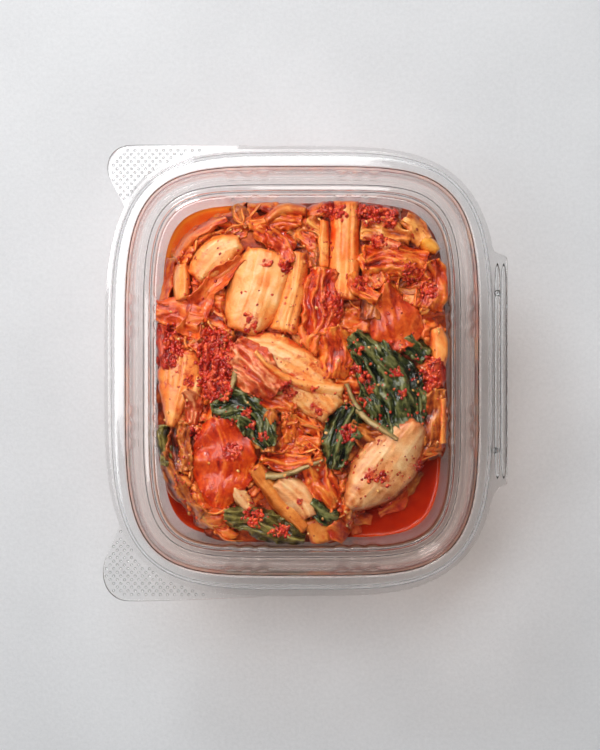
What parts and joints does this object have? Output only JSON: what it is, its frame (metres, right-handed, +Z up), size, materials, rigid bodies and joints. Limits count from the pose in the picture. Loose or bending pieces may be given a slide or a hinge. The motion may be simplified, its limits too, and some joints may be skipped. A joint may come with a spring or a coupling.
{
  "type": "boxed cabbage kimchi",
  "caption": "Cut cabbage kimchi with greens and brine in a clear hinged deli box, lid shut, opening on a living hinge.",
  "frame": {"origin": "middle of the flat underside of the tub, on the surface that the box stands on", "axes": "+Z up, +Y along the box's longer side with the lid's finger tab at the +Y end, +X towards the hinge"},
  "size_m": [0.1638, 0.1849, 0.0576],
  "materials": {
    "clear_box": "clear thermoformed PET sheet, glossy",
    "brine": "wet chili brine, glossy",
    "kimchi": "seasoned cabbage, wet"
  },
  "bodies": {
    "tub_body": {"tub": "clear_box", "brine": "brine", "kimchi_heap": "kimchi"},
    "lid_body": {"lid": "clear_box"}
  },
  "joints": [
    {"name": "lid_hinge", "type": "hinge", "parent": "tub_body", "child": "lid_body", "pos_m": [0.0833, 0, 0.0497], "axis": [0, 1, 0], "range_deg": [0, 180]}
  ]
}
